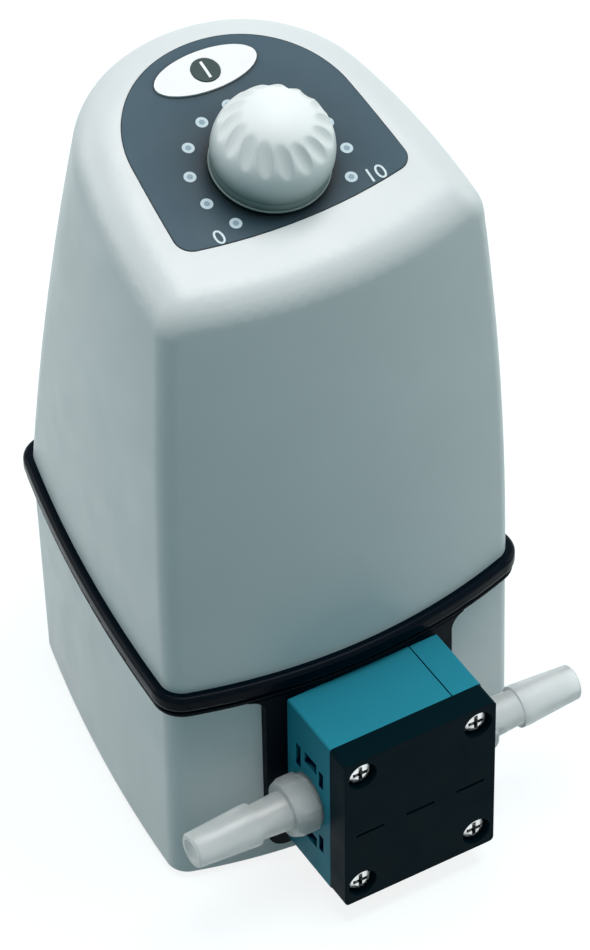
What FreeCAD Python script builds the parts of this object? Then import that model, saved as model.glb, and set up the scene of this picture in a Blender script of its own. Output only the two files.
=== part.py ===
"""Bench-top diaphragm liquid pump: tall moulded housing, black band, pump head in front.

Millimetres. The table is z = 0, +X is to the viewer's right and the pump head looks
towards -Y. The origin lies on the table, midway between the head's cover plate and
the rear of the band.
"""
import FreeCAD, Part
import math
import os
import re
import Sketcher

VEC = FreeCAD.Vector
UP = VEC(0, 0, 1)
DOWN = VEC(0, 0, -1)
LEFT = VEC(-1, 0, 0)
RIGHT = VEC(1, 0, 0)
FRONT = VEC(0, -1, 0)
REAR = VEC(0, 1, 0)

# Fits
gap = 0.1            # between parts that only lie beside each other
running_gap = 0.05   # radial clearance of shafts and screws in their holes

# Housing outline in plan: a crowned front, bowed sides, round rear corners and a bowed rear.
# All outlines turn at the same angles, so that the walls run smoothly from one to the next.
side_turn = 14.2
rear_turn = 72.5
front_radius = 164.0
corner_radius = 6.4
wall = 2.8
floor_thick = 2.5
lower_base_z = 1.6
lower_top_z = 67.4
base_half = 55.4
base_front = -46.8
base_widest = -58.19
base_side_bow = 475.0
base_rear_corner = 6.4
base_edge_radius = 1.2
band_web = 1.6
joint_half = 54.9
joint_front = -45.8
joint_widest = -54.97
joint_side_bow = 486.0
joint_rear_corner = 6.4
crown_z = 226.0
crown_half = 46.8
crown_front = -33.9
crown_widest = -13.1
crown_side_bow = 130.0
crown_rear_corner = 44.2
top_edge_radius = 11.6
wall_swell = 1.9

# Band between the two housings
band_foot_z = 64.8
band_head_z = 72.0
band_proud = 2.7
lip_proud = 2.1
groove_proud = 1.2
lip_tall = 1.3
groove_tall = 0.5
band_round = 1.7
lip_round = 0.5

# Sloping dial face: the knob's axis meets it here
dial_y = -0.8
dial_z = 209.4
dial_slope = 14.3
label_half = 35.9
label_front = -18.9
label_widest = -46.0
label_side_bow = 656.0
label_rear_corner = 32.0
label_side_turn = 5.3
label_rear_turn = 78.1
label_front_radius = 160.0
label_corner = 5.0
label_thick = 0.6
label_sunk = 0.4

# Speed knob
knob_radius = 16.1
knob_dome_radius = 16.5
knob_dome_height = 7.6
knob_lift = 1.6
knob_hollow_radius = 8.5
knob_hollow_deep = 3.4
scallop_count = 16
scallop_radius = 4.0
scallop_deep = 0.85
scallop_latitude = 39.0
scallop_twist = 17.0
scallop_long = 20.0
skirt_radius = 16.35
skirt_inner_radius = 14.0
skirt_thick = 0.7

# Dial shaft, potentiometer and control board
shaft_radius = 3.0
shaft_top = 13.0
shaft_foot = -9.0
shaft_chamfer = 0.5
bush_radius = 3.6
bush_top = 3.2
pot_wide = 17.0
pot_tall = 9.0
pot_drop = 3.0
nut_across = 10.0
nut_thick = 1.4
board_half = 21.0
board_front_v = -16.0
board_rear_v = 40.0
board_thick = 1.6
standoff_radius = 3.0
standoff_half = 17.0
standoff_front_v = -12.0
standoff_rear_v = 36.0
board_screw_radius = 1.4
board_screw_long = 7.0
board_screw_head_radius = 2.6
board_screw_head_tall = 1.8

# On/off button in its oval pad
button_v = 33.7
pad_half_long = 15.2
pad_half_short = 6.4
pad_thick = 0.6
button_radius = 4.0
button_proud = 0.25
button_flange_radius = 5.6
button_flange_thick = 1.0
button_stem_radius = 1.8
button_travel = 0.5
button_chamfer = 0.2
switch_wide = 6.2
switch_tall = 3.6

# Pump head
head_front = -77.0
head_z = 36.0
plate_wide = 48.0
plate_tall = 55.0
plate_thick = 7.8
plate_corner = 1.4
block_deep = 22.2
block_corner = 0.7
screw_half_x = 18.35
screw_half_z = 21.1
screw_radius = 2.0
screw_long = 33.0
screw_head_radius = 4.0
screw_head_tall = 2.6
screw_sunk = 1.25
sink_radius = 4.4
cross_wide = 1.2
cross_long = 4.6
cross_deep = 1.5
head_side_share = 0.45
head_bend_share = 0.82
head_flat_share = 0.5
mark_long = 9.0
mark_tall = 0.9
mark_deep = 0.5
mark_pitch = 16.0
mark_drop = 1.5
seam_x = 14.6
seam_wide = 0.35
seam_deep = 0.4
seal_radius = 17.5
seal_thick = 1.0

# Ports, valves and diaphragm
port_depth = 18.6
port_drop = 1.2
stub_radius = 4.85
stub_long = 8.4
port_web = 0.6
passage_radius = 2.2
outlet_drop = 8.0
pocket_radius = 5.5
inlet_pocket_deep = 2.6
outlet_pocket_deep = 4.0
channel_deep = 1.6
valve_radius = 3.7
valve_thick = 0.8
valve_lift = 0.6
cage_clear = 0.25
cage_lip = 0.8
cage_lip_radius = 2.4
rim_radius = 21.0
rim_thick = 2.0
dish_radius = 17.0
dish_floor_radius = 9.0
dish_deep = 3.5
web_thick = 1.5
web_clear = 1.0
centre_radius = 8.5
centre_thick = 4.0
centre_push = 2.4
nose_radius = 5.0
nose_long = 6.6

# Side pockets moulded into the head block round each port
slot_deep = 2.4
slot_near_y = 4.6
slot_near_wide = 2.4
slot_near_low = 8.0
slot_near_tall = 8.0
slot_mid_y = -3.7
slot_mid_wide = 6.1
slot_mid_low = 12.6
slot_mid_tall = 3.8
slot_far_y = -7.2
slot_far_wide = 2.2
slot_far_low = 9.6
slot_far_tall = 5.8

# Hose fittings
ring_radius = 7.9
ring_thick = 1.3
hex_across = 15.8
hex_thick = 7.0
hex_round_radius = 8.75
hex_flat_share = 0.7
neck_root_radius = 5.75
neck_radius = 5.1
neck_long = 10.0
crest_radius = 6.2
crest_long = 2.0
tip_radius = 5.1
tip_long = 17.2
tip_chamfer = 0.5
bore_radius = 3.4

# Collar round the head in the front of the lower housing
collar_half = 29.8
collar_foot_z = 7.0
collar_corner = 5.0
collar_flare = 4.5
collar_rear = -38.0
collar_room = 0.3

# Drive frame, motor and crank
flange_wide = 45.0
flange_tall = 51.0
flange_thick = 6.0
motor_y = -11.0
frame_half = 22.0
frame_rear = 11.0
frame_foot_z = 14.0
frame_top_z = 60.0
frame_top_thick = 6.0
chamber_radius = 17.6
neck_bore_radius = 13.0
cover_thick = 2.0
motor_radius = 20.0
motor_long = 56.0
motor_cap_tall = 7.0
motor_cap_radius = 17.5
terminal_thick = 0.8
terminal_wide = 3.0
terminal_tall = 6.0
terminal_sunk = 1.0
pilot_radius = 7.0
pilot_tall = 2.5
motor_shaft_radius = 2.5
motor_screw_half = 11.5
motor_screw_radius = 1.5
motor_screw_long = 10.0
motor_screw_head_radius = 2.7
motor_screw_head_tall = 1.8
shaft_end_proud = 1.0
throw = 1.5
hub_radius = 8.0
hub_foot_z = 40.6
hub_tall = 10.4
weight_radius = 15.0
weight_tall = 5.0
pin_radius = 4.0
pin_root = 1.0
bearing_z = 32.5
bearing_tall = 7.0
bearing_radius = 11.0
inner_race_radius = 6.05
outer_race_radius = 9.0
ball_radius = 1.98
ball_count = 7
race_groove = 0.12
big_end_radius = 14.0
rod_wide = 9.0
rod_tall = 6.0
rod_nose_radius = 6.0
rod_nose_long = 4.0
seat_gap = 0.3
mount_radius = 5.0
mount_half_x = 15.5
mount_front_y = -27.0
mount_rear_y = 5.0

# Housing screws, posts and feet
post_radius = 5.0
post_front_x = 48.4
post_front_y = -21.0
post_rear_x = 35.2
post_rear_y = 54.5
boss_tall = 11.0
case_screw_radius = 1.9
case_screw_grip = 8.0
case_screw_head_radius = 3.6
case_screw_head_tall = 2.4
post_sink_deep = 4.0
foot_radius = 7.0
foot_proud = 1.6
foot_sunk = 1.4
foot_front_x = 36.0
foot_front_y = -29.0
foot_rear_x = 22.0
foot_rear_y = 57.0

# Mains inlet and power supply
recess_deep = 4.0
inlet_z = 30.0
inlet_flange_wide = 31.0
inlet_flange_tall = 24.0
inlet_flange_thick = 2.6
inlet_corner = 3.0
inlet_body_wide = 27.0
inlet_body_tall = 19.8
inlet_body_deep = 21.0
socket_wide = 24.2
socket_tall = 16.4
socket_deep = 16.0
socket_corner = 2.0
blade_wide = 2.0
blade_tall = 4.0
blade_long = 12.1
blade_spacing = 7.0
blade_low = -1.5
blade_root = 1.4
earth_high = 3.0
supply_half = 28.0
supply_front_y = 12.0
supply_rear_y = 61.0
supply_z = 10.0
supply_post_radius = 3.0
supply_post_x = 25.0
supply_post_front_y = 16.0
supply_post_rear_y = 56.0
transformer_wide = 40.0
transformer_deep = 32.0
transformer_tall = 30.0
core_share = 0.5
winding_share = 0.6
window_share = 0.7
bobbin_share = 0.15
transformer_y = 12.0
capacitor_radius = 6.3
capacitor_tall = 25.0
capacitor_groove_z = 3.6
capacitor_groove_half = 0.6
capacitor_groove_deep = 0.4
capacitor_x = -22.0
capacitor_y = 52.0

SIZES = {name: number for name, number in globals().items() if isinstance(number, (int, float))}

doc = FreeCAD.newDocument("DiaphragmPump")
sheet = doc.addObject("Spreadsheet::Sheet", "Sizes")
NODES = []


def write_cell(name, text):
    """Put one named value in the next row of the sheet."""
    row = len(write_cell.rows) + 1
    write_cell.rows.append(name)
    sheet.set("A%d" % row, name)
    sheet.set("B%d" % row, text)
    sheet.setAlias("B%d" % row, name)


write_cell.rows = []


def fill_sheet():
    """Write every driving size as a plain number."""
    for name, number in SIZES.items():
        write_cell(name, repr(number))
    doc.recompute()


def words(text):
    """Turn the sizes named in an expression into references to the sheet."""
    def refer(found):
        name = found.group()
        return "Sizes." + name if name in SIZES else name
    return re.sub(r"[a-z][a-z_]*", refer, text)


def derive(name, text):
    """Add a size that follows from others as a formula cell, and return its value."""
    formula = re.sub(r"Sizes\.", "", words(text))
    write_cell(name, "=" + formula)
    doc.recompute()
    SIZES[name] = float(sheet.get(name))
    return SIZES[name]


def derive_rear(name):
    """Add the rear's y of a housing outline and return it."""
    derive(name + "_reach", "%s_side_bow - %s_rear_corner" % (name, name))
    derive(name + "_turn_x", "%s_half - %s_side_bow + %s_reach * cos(side_turn)" % (name, name, name))
    turn_y = "%s_widest + %s_reach * sin(side_turn)" % (name, name)
    return derive(name + "_rear", "%s + %s_rear_corner + %s_turn_x * (1 - sin(rear_turn)) / cos(rear_turn)"
                  % (turn_y, name, name))


def bind(thing, **texts):
    """Tie properties of an object to expressions of the sheet's sizes."""
    for name, text in texts.items():
        thing.setExpression(name, words(text))
    return thing


def put(thing, x="0", y="0", z="0"):
    """Tie an object's place to expressions."""
    for axis, text in zip("xyz", (x, y, z)):
        thing.setExpression("Placement.Base." + axis, words(text))
    return thing


def put_on_dial(thing, across="0", along="0", above="0"):
    """Tie an object to the dial face: across it, up its slope and above its surface."""
    thing.Placement = FreeCAD.Placement(VEC(), FreeCAD.Rotation(RIGHT, dial_slope))
    thing.setExpression("Placement.Rotation.Angle", words("dial_slope"))
    run = "dial_y + (%s) * cos(dial_slope) - (%s) * sin(dial_slope)" % (along, above)
    rise = "dial_z + (%s) * sin(dial_slope) + (%s) * cos(dial_slope)" % (along, above)
    return put(thing, across, run, rise)


def box(wide, deep, tall, x="0", y="0", z="0"):
    """Box with its lowest corner at the given place."""
    thing = doc.addObject("Part::Box", "Box")
    bind(thing, Length=wide, Width=deep, Height=tall)
    return put(thing, x, y, z)


def pole(radius, length, x="0", y="0", z="0", toward=UP):
    """Cylinder from the given place towards a direction."""
    thing = doc.addObject("Part::Cylinder", "Pole")
    thing.Placement = FreeCAD.Placement(VEC(), FreeCAD.Rotation(UP, toward))
    bind(thing, Radius=radius, Height=length)
    return put(thing, x, y, z)


def solid(shape, name="Form"):
    """Object that holds a shape worked out by this script."""
    thing = doc.addObject("Part::Feature", name)
    thing.Shape = shape
    return thing


def cut(base, *tools):
    """Take the tools away from the base."""
    thing = doc.addObject("Part::Cut", "Cut")
    thing.Base = base
    thing.Tool = tools[0] if len(tools) == 1 else fuse(*tools)
    return thing


def fuse(*pieces):
    """Join pieces into one."""
    thing = doc.addObject("Part::MultiFuse", "Fuse")
    thing.Shapes = list(pieces)
    return thing


def common(first, second):
    """Keep what two pieces share."""
    thing = doc.addObject("Part::MultiCommon", "Common")
    thing.Shapes = [first, second]
    return thing


def group(pieces):
    """Hold alike pieces together as separate solids."""
    thing = doc.addObject("Part::Compound", "Group")
    thing.Links = list(pieces)
    return thing


def node(label, thing):
    """Name a finished sub-part."""
    thing.Label = label
    NODES.append(thing)
    return thing


def rounded(base, radius, chosen):
    """Fillet the edges of a base that a test picks out."""
    doc.recompute()
    edges = [i for i, edge in enumerate(base.Shape.Edges, 1) if chosen(edge)]
    thing = doc.addObject("Part::Fillet", "Round")
    thing.Base = base
    thing.Edges = [(i, radius, radius) for i in edges]
    return thing


def straight_along(direction):
    """Test for straight edges that run along a direction."""
    def chosen(edge):
        if len(edge.Vertexes) != 2:
            return False
        run = edge.Vertexes[1].Point - edge.Vertexes[0].Point
        return abs(run.Length - edge.Length) < 1e-6 and run.cross(direction).Length < 1e-6
    return chosen


def origin_item(body, role):
    """One of a body's own base planes or axes."""
    return [item for item in body.Origin.OriginFeatures if item.Role == role][0]


def new_body(name):
    return doc.addObject("PartDesign::Body", name)


def polygon(body, points, plane="XZ_Plane"):
    """Closed sketch whose corners are tied to pairs of expressions."""
    sketch = body.newObject("Sketcher::SketchObject", "Profile")
    sketch.AttachmentSupport = (origin_item(body, plane), [""])
    sketch.MapMode = "FlatFace"
    count = len(points)
    spots = [VEC(math.cos(turn), math.sin(turn), 0)
             for turn in (2 * math.pi * i / count for i in range(count))]
    for i in range(count):
        sketch.addGeometry(Part.LineSegment(spots[i], spots[(i + 1) % count]), False)
    for i in range(count):
        sketch.addConstraint(Sketcher.Constraint("Coincident", i, 2, (i + 1) % count, 1))
    for i, pair in enumerate(points):
        for kind, text in zip(("DistanceX", "DistanceY"), pair):
            number = sketch.addConstraint(Sketcher.Constraint(kind, -1, 1, i, 1, 1.0))
            sketch.setExpression("Constraints[%d]" % number, words(text))
    return sketch


def turned(name, points):
    """Body turned about its own Z axis from pairs of radius and height."""
    body = new_body(name)
    sketch = polygon(body, points)
    spin = body.newObject("PartDesign::Revolution", "Turn")
    spin.Profile = sketch
    spin.ReferenceAxis = (sketch, ["V_Axis"])
    spin.Angle = 360
    return body


def aim(thing, toward, x="0", y="0", z="0"):
    """Point an object's own Z axis in a direction and tie its place."""
    thing.Placement = FreeCAD.Placement(VEC(), FreeCAD.Rotation(UP, toward))
    return put(thing, x, y, z)


# Plan outlines of the housing

def front_meeting(first, first_radius, second, second_radius):
    """Front crossing point of two circles."""
    apart = math.dist(first, second)
    along = (first_radius ** 2 - second_radius ** 2 + apart ** 2) / (2 * apart)
    aside = math.sqrt(first_radius ** 2 - along ** 2)
    ux = (second[0] - first[0]) / apart
    uy = (second[1] - first[1]) / apart
    middle = (first[0] + along * ux, first[1] + along * uy)
    options = [(middle[0] - aside * uy, middle[1] + aside * ux),
               (middle[0] + aside * uy, middle[1] - aside * ux)]
    return min(options, key=lambda point: point[1])


def toward_point(centre, radius, point):
    """Point on a circle in the direction of another point."""
    apart = math.dist(centre, point)
    return (centre[0] + (point[0] - centre[0]) * radius / apart,
            centre[1] + (point[1] - centre[1]) * radius / apart)


def along_ray(start, length, angle):
    """Point at a length from a start, in a direction given in degrees from +X."""
    return (start[0] + length * math.cos(math.radians(angle)),
            start[1] + length * math.sin(math.radians(angle)))


def plan_outline(shape, z, grow=0.0, corner=None, crown=None):
    """Closed wire of tangent arcs, symmetric about x = 0, grown outwards by a margin.

    shape holds the half width, the front's y, the y of the widest place, the radii of the
    bowed sides and of the rear corners, and the angles from +X at which the sides turn into
    the rear corners and these into the rear. With no corner radius the front corners stay
    sharp.
    """
    half, front, widest, side_bow, rear_corner, side_angle, rear_angle = shape
    crown = crown or front_radius
    front_centre = (0.0, front + crown)
    side_centre = (half - side_bow, widest)
    turn_centre = along_ray(side_centre, side_bow - rear_corner, side_angle)
    rear_bow = rear_corner + turn_centre[0] / math.cos(math.radians(rear_angle))
    rear_centre = along_ray(turn_centre, rear_corner - rear_bow, rear_angle)
    side_end = along_ray(side_centre, side_bow + grow, side_angle)
    rear_start = along_ray(rear_centre, rear_bow + grow, rear_angle)
    rear = rear_centre[1] + rear_bow

    def at(point, hand=1):
        return VEC(hand * point[0], point[1], z)

    def arc(centre, radius, start, end, hand=1):
        between = ((start[0] + end[0]) / 2, (start[1] + end[1]) / 2)
        middle = toward_point(centre, radius, between)
        return Part.Arc(at(start, hand), at(middle, hand), at(end, hand)).toShape()

    if corner:
        corner_centre = front_meeting(front_centre, crown - corner, side_centre, side_bow - corner)
        front_end = toward_point(front_centre, crown + grow, corner_centre)
        side_start = toward_point(side_centre, side_bow + grow, corner_centre)
    else:
        front_end = front_meeting(front_centre, crown + grow, side_centre, side_bow + grow)
        side_start = front_end
    edges = [Part.Arc(at(front_end, -1), VEC(0, front - grow, z), at(front_end)).toShape()]
    if corner:
        edges.append(arc(corner_centre, corner + grow, front_end, side_start))
    edges.append(arc(side_centre, side_bow + grow, side_start, side_end))
    edges.append(arc(turn_centre, rear_corner + grow, side_end, rear_start))
    edges.append(Part.Arc(at(rear_start), VEC(0, rear + grow, z), at(rear_start, -1)).toShape())
    edges.append(arc(turn_centre, rear_corner + grow, rear_start, side_end, -1))
    edges.append(arc(side_centre, side_bow + grow, side_end, side_start, -1))
    if corner:
        edges.append(arc(corner_centre, corner + grow, side_start, front_end, -1))
    return Part.Wire(edges)


def blend(low, high, share):
    """Outline shape part of the way between two others."""
    return tuple(a + (b - a) * share for a, b in zip(low, high))


def upper_outline(z, grow=0.0, corner=None):
    """The upper housing's outline at a height."""
    share = (z - upper_foot_z) / (crown_z - upper_foot_z)
    return plan_outline(blend(JOINT, CROWN, share), z, grow, corner)


def lower_outline(z, grow=0.0, corner=None):
    """The lower housing's outline at a height."""
    share = (z - lower_base_z) / (lower_top_z - lower_base_z)
    return plan_outline(blend(BASE, JOINT, share), z, grow, corner)


def loft(low, high):
    return Part.makeLoft([low, high], True, True)


def slab(wire, tall):
    return Part.Face(wire).extrude(VEC(0, 0, tall))


def dial_point(across, along, above):
    """World position of a point given on the dial face."""
    slope = math.radians(dial_slope)
    return VEC(across,
               dial_y + along * math.cos(slope) - above * math.sin(slope),
               dial_z + along * math.sin(slope) + above * math.cos(slope))


def dial_normal():
    slope = math.radians(dial_slope)
    return VEC(0, -math.sin(slope), math.cos(slope))


def housing_form(z, grow, corner, edge, drop):
    """Tapered form with slightly swollen walls under the dial face, its edges softened."""
    middle = (z + crown_z) / 2
    raw = Part.makeLoft([upper_outline(z, grow), upper_outline(middle, grow + wall_swell),
                         upper_outline(crown_z, grow)], True)
    reach = 4 * crown_z
    above = Part.makeBox(reach, reach, reach, VEC(-reach / 2, -reach / 2, 0))
    above.Placement = FreeCAD.Placement(dial_point(0, 0, -drop), FreeCAD.Rotation(RIGHT, dial_slope))
    block = solid(raw.cut(above).Solids[0], "HousingBlock")
    top = []
    sides = []
    for i, edge_shape in enumerate(block.Shape.Edges, 1):
        points = [vertex.Point for vertex in edge_shape.Vertexes]
        heights = [(point - dial_point(0, 0, -drop)).dot(dial_normal()) for point in points]
        if max(abs(height) for height in heights) < 1e-4:
            top.append((i, edge, edge))
        elif edge_shape.Length > crown_z / 2 and all(point.y < joint_front / 2 for point in points):
            sides.append((i, corner, corner))
    soft = doc.addObject("Part::Fillet", "SoftForm")
    soft.Base = block
    soft.Edges = top + sides
    return soft


def post_places():
    """Expressions for the four housing screws' places."""
    return [("%s * post_%s_x" % (hand, end), "post_%s_y" % end)
            for end in ("front", "rear") for hand in ("-1", "1")]


def foot_places():
    return [("%s * foot_%s_x" % (hand, end), "foot_%s_y" % end)
            for end in ("front", "rear") for hand in ("-1", "1")]


def standoff_places():
    return [("%s * standoff_half" % hand, "standoff_%s_v" % end)
            for end in ("front", "rear") for hand in ("-1", "1")]


# Housing

def upper_housing():
    """Tall moulded cover with the label's recess, the dial's holes and its screw bosses."""
    inner = housing_form(upper_foot_z - gap, -wall, corner_radius - wall, top_edge_radius - wall, wall)
    shell = cut(upper_form, inner)
    bosses = [pole("post_radius", "boss_tall", x, y, "upper_foot_z") for x, y in post_places()]
    limit = solid(loft(upper_outline(upper_foot_z, -wall / 2, corner_radius),
                       upper_outline(upper_foot_z + 2 * boss_tall, -wall / 2, corner_radius)))
    standoffs = [put_on_dial(pole("standoff_radius", "board_drop - wall / 2"), x, v, "-board_drop")
                 for x, v in standoff_places()]
    body = fuse(shell, common(fuse(*bosses), limit), *standoffs)
    tools = [pole("case_screw_radius", "case_screw_grip + gap", x, y, "upper_foot_z")
             for x, y in post_places()]
    tools += [put_on_dial(pole("board_screw_radius", "board_screw_long"), x, v, "-board_drop")
              for x, v in standoff_places()]
    tools.append(solid(label_form(-label_sunk, label_sunk + wall, gap)))
    tools.append(put_on_dial(pole("bush_radius + running_gap", "2 * wall"), above="-1.5 * wall"))
    tools.append(put_on_dial(pole("button_radius + 2 * gap", "2 * wall"), along="button_v",
                             above="-1.5 * wall"))
    return node("upper_housing", cut(body, *tools))


def lower_housing():
    """Lower tub with its front cut-out, rear recess, screw posts and board pillars."""
    outer = loft(lower_outline(lower_base_z, 0, corner_radius), lower_outline(lower_top_z, 0, corner_radius))
    tub = rounded(solid(outer), base_edge_radius, lambda edge: edge.BoundBox.ZMax < lower_base_z + gap)
    inner = solid(loft(lower_outline(floor_z, -wall, corner_radius),
                       lower_outline(lower_top_z + gap, -wall, corner_radius)))
    shell = cut(tub, inner)
    limit = solid(loft(lower_outline(floor_z - floor_thick / 2, -wall / 2, corner_radius),
                       lower_outline(lower_top_z, -wall / 2, corner_radius)))
    posts = [pole("post_radius", "lower_top_z - lower_base_z", x, y, "lower_base_z")
             for x, y in post_places()]
    pillars = [pole("supply_post_radius", "supply_z - floor_z + floor_thick / 2",
                    hand + " * supply_post_x", "supply_post_%s_y" % end, "floor_z - floor_thick / 2")
               for end in ("front", "rear") for hand in ("-1", "1")]
    pad = box("recess_wide + 2 * wall", "wall + recess_deep", "recess_tall + 2 * wall",
              "-recess_wide / 2 - wall", "recess_y - wall", "inlet_z - recess_tall / 2 - wall")
    body = fuse(shell, common(fuse(*posts), limit), common(pad, limit), *pillars)
    tools = [pole("case_screw_radius + running_gap", "lower_top_z", x, y, "lower_base_z")
             for x, y in post_places()]
    tools += [pole("case_screw_head_radius + gap", "post_sink_deep", x, y, "lower_base_z")
              for x, y in post_places()]
    tools += [pole("foot_radius + gap", "foot_sunk", x, y, "lower_base_z") for x, y in foot_places()]
    recess = box("recess_wide", "2 * recess_deep", "recess_tall",
                 "-recess_wide / 2", "recess_y", "inlet_z - recess_tall / 2")
    tools.append(rounded(recess, inlet_corner, straight_along(REAR)))
    tools.append(box("inlet_body_wide + 2 * gap", "3 * wall", "inlet_body_tall + 2 * gap",
                     "-inlet_body_wide / 2 - gap", "recess_y - 2 * wall",
                     "inlet_z - inlet_body_tall / 2 - gap"))
    tools.append(solid(collar_prism(base_front - wall, collar_rear, gap)))
    return node("lower_housing", cut(body, *tools))


def collar_outline(y, grow):
    """The collar's front outline: round lower corners and flared upper ones."""
    half = collar_half + grow
    foot = collar_foot_z - grow
    corner = collar_corner + grow
    flare = collar_flare - grow
    shoulder = band_foot_z
    bend = math.sin(math.radians(45))

    def at(x, z):
        return VEC(x, y, z)

    def half_edges(hand):
        low = Part.Arc(at(hand * (half - corner), foot),
                       at(hand * (half - corner + corner * bend), foot + corner - corner * bend),
                       at(hand * half, foot + corner)).toShape()
        side = Part.makeLine(at(hand * half, foot + corner), at(hand * half, shoulder - flare))
        high = Part.Arc(at(hand * half, shoulder - flare),
                        at(hand * (half + flare - flare * bend), shoulder - flare + flare * bend),
                        at(hand * (half + flare), shoulder)).toShape()
        post = Part.makeLine(at(hand * (half + flare), shoulder), at(hand * (half + flare), lower_top_z))
        return [low, side, high, post]

    sill = Part.makeLine(at(corner - half, foot), at(half - corner, foot))
    lintel = Part.makeLine(at(-half - flare, lower_top_z), at(half + flare, lower_top_z))
    return Part.Wire(Part.__sortEdges__([sill, lintel] + half_edges(1) + half_edges(-1)))


def collar_prism(front, rear, grow):
    return Part.Face(collar_outline(front, grow)).extrude(VEC(0, rear - front, 0))


def head_collar():
    """Black frame that carries the head through the housing's front."""
    skin = loft(lower_outline(lower_base_z, lip_proud, corner_radius),
                lower_outline(lower_top_z, lip_proud, corner_radius))
    prism = collar_prism(block_rear, collar_rear, 0.0).common(skin)
    room = slab(lower_outline(band_foot_z, band_proud + wall, corner_radius), band_head_z - band_foot_z)
    room = room.cut(slab(lower_outline(band_foot_z, -gap, corner_radius), band_head_z - band_foot_z))
    opening = box("flange_wide + 2 * collar_room", "collar_rear - block_rear",
                  "flange_tall + 2 * collar_room",
                  "-flange_wide / 2 - collar_room", "block_rear", "head_z - flange_tall / 2 - collar_room")
    return node("head_collar", cut(solid(prism.cut(room)), opening))


def band_ring(foot, head, proud, round_radius):
    """One rounded step of the band as a full slab."""
    shape = slab(plan_outline(JOINT, foot, proud, corner_radius), head - foot)
    rims = [edge for edge in shape.Edges
            if edge.BoundBox.ZLength < 1e-6]
    return shape.makeFillet(round_radius, rims)


def seal_band():
    """Black rubber band: a broad round step over a thin lip, with a web between the shells."""
    lip = band_ring(band_foot_z, band_foot_z + lip_tall, lip_proud, lip_round)
    broad = band_ring(band_foot_z + lip_tall + groove_tall, band_head_z, band_proud, band_round)
    core = slab(plan_outline(JOINT, band_foot_z + lip_round, groove_proud, corner_radius),
                band_head_z - band_foot_z - lip_round - band_round)
    whole = core.fuse([lip, broad])
    below = loft(lower_outline(lower_base_z, 0, corner_radius), lower_outline(lower_top_z, 0, corner_radius))
    inside = slab(plan_outline(JOINT, band_foot_z, -wall, corner_radius), band_head_z - band_foot_z)
    ring = cut(solid(whole.cut(below).cut(inside)), upper_form)
    pads = [pole("post_radius", "band_web", x, y, "lower_top_z") for x, y in post_places()]
    drills = [pole("case_screw_radius + running_gap", "2 * band_web", x, y, "lower_top_z - band_web / 2")
              for x, y in post_places()]
    limit = solid(slab(plan_outline(JOINT, lower_top_z, -wall / 2, corner_radius), band_web))
    return node("seal_band", cut(fuse(ring, common(fuse(*pads), limit)), *drills))


def label_form(above, thick, grow=0.0):
    """Plate with a crowned front and a round rear on the dial face."""
    shape = (label_half, label_front, label_widest, label_side_bow, label_rear_corner,
             label_side_turn, label_rear_turn)
    wire = plan_outline(shape, 0.0, grow, label_corner, label_front_radius)
    form = slab(wire, thick)
    form.Placement = FreeCAD.Placement(dial_point(0, 0, above), FreeCAD.Rotation(RIGHT, dial_slope))
    return form


def control_label():
    """Slate-blue foil on the dial face."""
    foil = solid(label_form(-label_sunk, label_thick))
    shaft_hole = put_on_dial(pole("bush_radius + running_gap", "2 * label_thick"), above="-label_thick")
    button_hole = put_on_dial(pole("button_radius + 2 * gap", "2 * label_thick"), along="button_v",
                              above="-label_thick")
    return node("control_label", cut(foil, shaft_hole, button_hole))


def rubber_feet():
    """Four feet pressed into the floor's recesses."""
    feet = []
    for x, y in foot_places():
        foot = turned("Foot", [("0", "0"), ("foot_radius - foot_proud / 2", "0"),
                               ("foot_radius", "foot_proud"), ("foot_radius", "foot_proud + foot_sunk"),
                               ("0", "foot_proud + foot_sunk")])
        feet.append(put(foot, x, y, "0"))
    return node("rubber_feet", group(feet))


def pan_screw(radius, long, head_radius, head_tall, crossed=True):
    """Cross-head screw along its own Z axis: the head's underside is at 0, the shank below."""
    body = turned("Screw", [("0", "-1 * (%s)" % long), (radius, "-1 * (%s)" % long), (radius, "0"),
                            (head_radius, "0"), (head_radius, "head_side_share * " + head_tall),
                            ("head_bend_share * " + head_radius, "head_bend_share * " + head_tall),
                            ("head_flat_share * " + head_radius, head_tall), ("0", head_tall)])
    if not crossed:
        return body
    for wide, deep in (("cross_wide", "cross_long"), ("cross_long", "cross_wide")):
        slot = body.newObject("PartDesign::SubtractiveBox", "Slot")
        bind(slot, Length=wide, Width=deep, Height="cross_deep + head_spare")
        put(slot, "-1 * %s / 2" % wide, "-1 * %s / 2" % deep, "%s - cross_deep" % head_tall)
    return body


def housing_screws():
    """Four long screws from below, through the posts and into the upper bosses."""
    long = "upper_foot_z + case_screw_grip - lower_base_z - post_sink_deep"
    screws = [aim(pan_screw("case_screw_radius", long, "case_screw_head_radius",
                            "case_screw_head_tall", False),
                  DOWN, x, y, "lower_base_z + post_sink_deep") for x, y in post_places()]
    return node("housing_screws", group(screws))


# Controls on the dial face

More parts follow.
